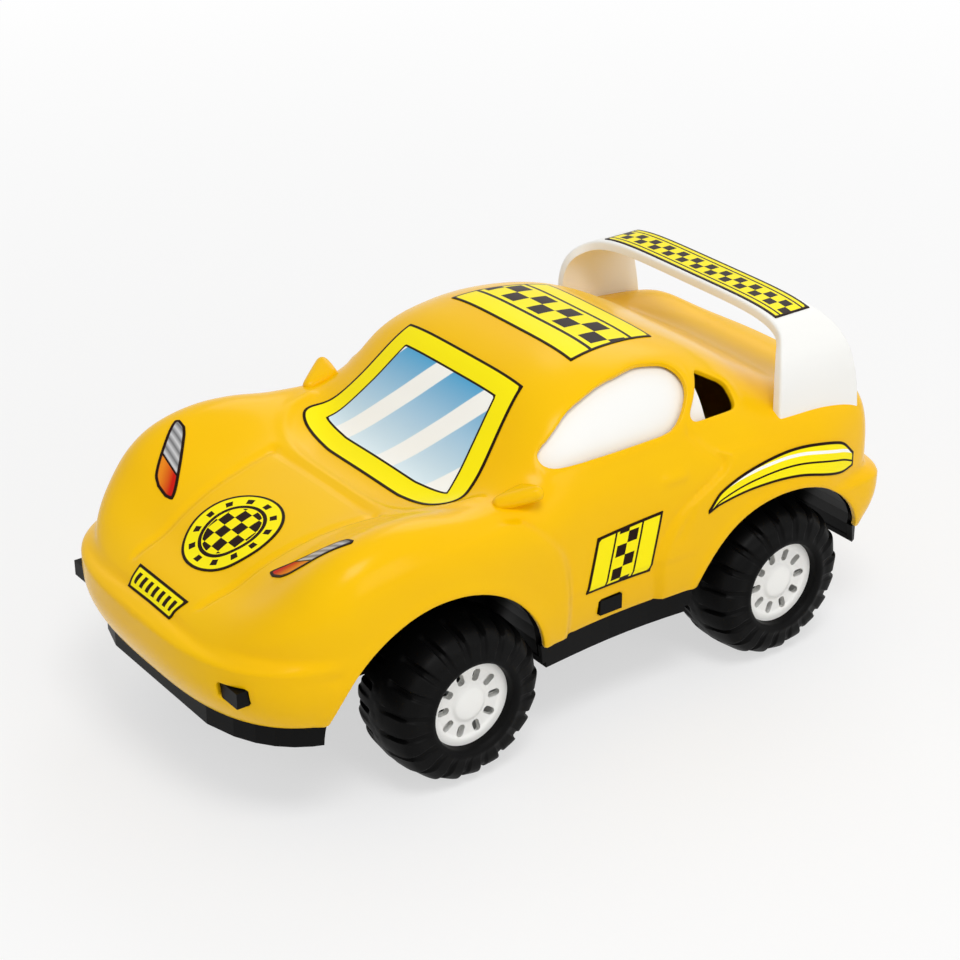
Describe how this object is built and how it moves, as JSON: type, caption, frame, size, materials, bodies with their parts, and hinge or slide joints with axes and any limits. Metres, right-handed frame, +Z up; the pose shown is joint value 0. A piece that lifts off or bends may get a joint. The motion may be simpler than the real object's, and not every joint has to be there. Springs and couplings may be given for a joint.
{
  "type": "toy taxi",
  "caption": "Push-along toy taxi: a yellow moulded coupe shell on a black chassis tray, with a white hoop wing, printed film stickers and wheels on turning steel axles.",
  "frame": {"origin": "on the floor under the middle of the body's length and width", "axes": "+Y towards the tail, so the nose points along -Y; +X to the car's left side; +Z up"},
  "size_m": [0.1688, 0.3258, 0.1466],
  "materials": {
    "body_yellow": "glossy moulded plastic",
    "chassis_black": "satin moulded plastic",
    "wing_white": "glossy moulded plastic",
    "insert_white": "plain moulded plastic",
    "tyre_black": "satin black plastic",
    "hub_white": "glossy moulded plastic",
    "axle_steel": "drawn rod",
    "screw_steel": "plated",
    "sticker_film": "printed film"
  },
  "bodies": {
    "body": {"body_shell": "body_yellow", "chassis": "chassis_black", "rear_wing": "wing_white", "window_insert": "insert_white", "front_left_axle_cap": "chassis_black", "front_right_axle_cap": "chassis_black", "rear_left_axle_cap": "chassis_black", "rear_right_axle_cap": "chassis_black", "axle_cap_screws": "screw_steel", "windscreen_sticker": "sticker_film", "roof_sticker": "sticker_film", "wing_sticker": "sticker_film", "grille_sticker": "sticker_film", "bonnet_sticker": "sticker_film", "left_lamp_sticker": "sticker_film", "right_lamp_sticker": "sticker_film", "left_door_sticker": "sticker_film", "right_door_sticker": "sticker_film", "left_fender_sticker": "sticker_film", "right_fender_sticker": "sticker_film"},
    "front_wheels": {"front_axle": "axle_steel", "front_left_tyre": "tyre_black", "front_right_tyre": "tyre_black", "front_left_hub": "hub_white", "front_right_hub": "hub_white"},
    "rear_wheels": {"rear_axle": "axle_steel", "rear_left_tyre": "tyre_black", "rear_right_tyre": "tyre_black", "rear_left_hub": "hub_white", "rear_right_hub": "hub_white"}
  },
  "joints": [
    {"name": "front_axle_spin", "type": "hinge", "parent": "body", "child": "front_wheels", "pos_m": [0, -0.063, 0.0345], "axis": [1, 0, 0], "continuous": true},
    {"name": "rear_axle_spin", "type": "hinge", "parent": "body", "child": "rear_wheels", "pos_m": [0, 0.097, 0.0345], "axis": [1, 0, 0], "continuous": true}
  ]
}
